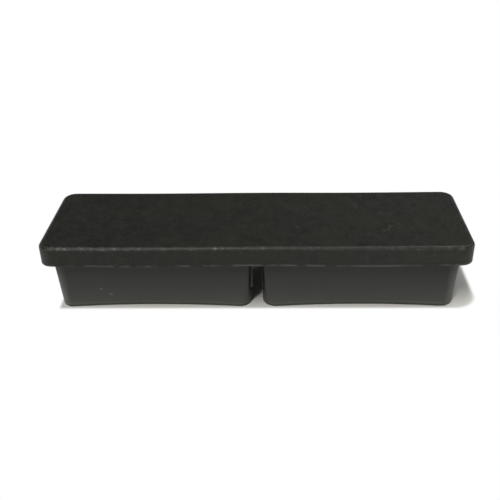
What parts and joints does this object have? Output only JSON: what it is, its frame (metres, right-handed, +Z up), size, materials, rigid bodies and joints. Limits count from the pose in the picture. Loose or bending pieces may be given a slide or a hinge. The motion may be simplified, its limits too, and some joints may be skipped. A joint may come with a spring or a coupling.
{
  "type": "rectangular end cap",
  "caption": "Rectangular plastic end cap: a flat flange over two hollow plug legs with a slot between them, for a flat tube with an inner web.",
  "frame": {"origin": "middle of the footprint, on the plane of the leg rims that the cap stands on", "axes": "+X along the flange's length, +Y across its width, +Z up out of the flange's top face"},
  "size_m": [0.07, 0.02, 0.0127],
  "materials": {
    "moulded_plastic": "fine moulded texture, black, lightly worn at the top edges"
  },
  "bodies": {
    "root": {"end_cap": "moulded_plastic"}
  },
  "joints": []
}
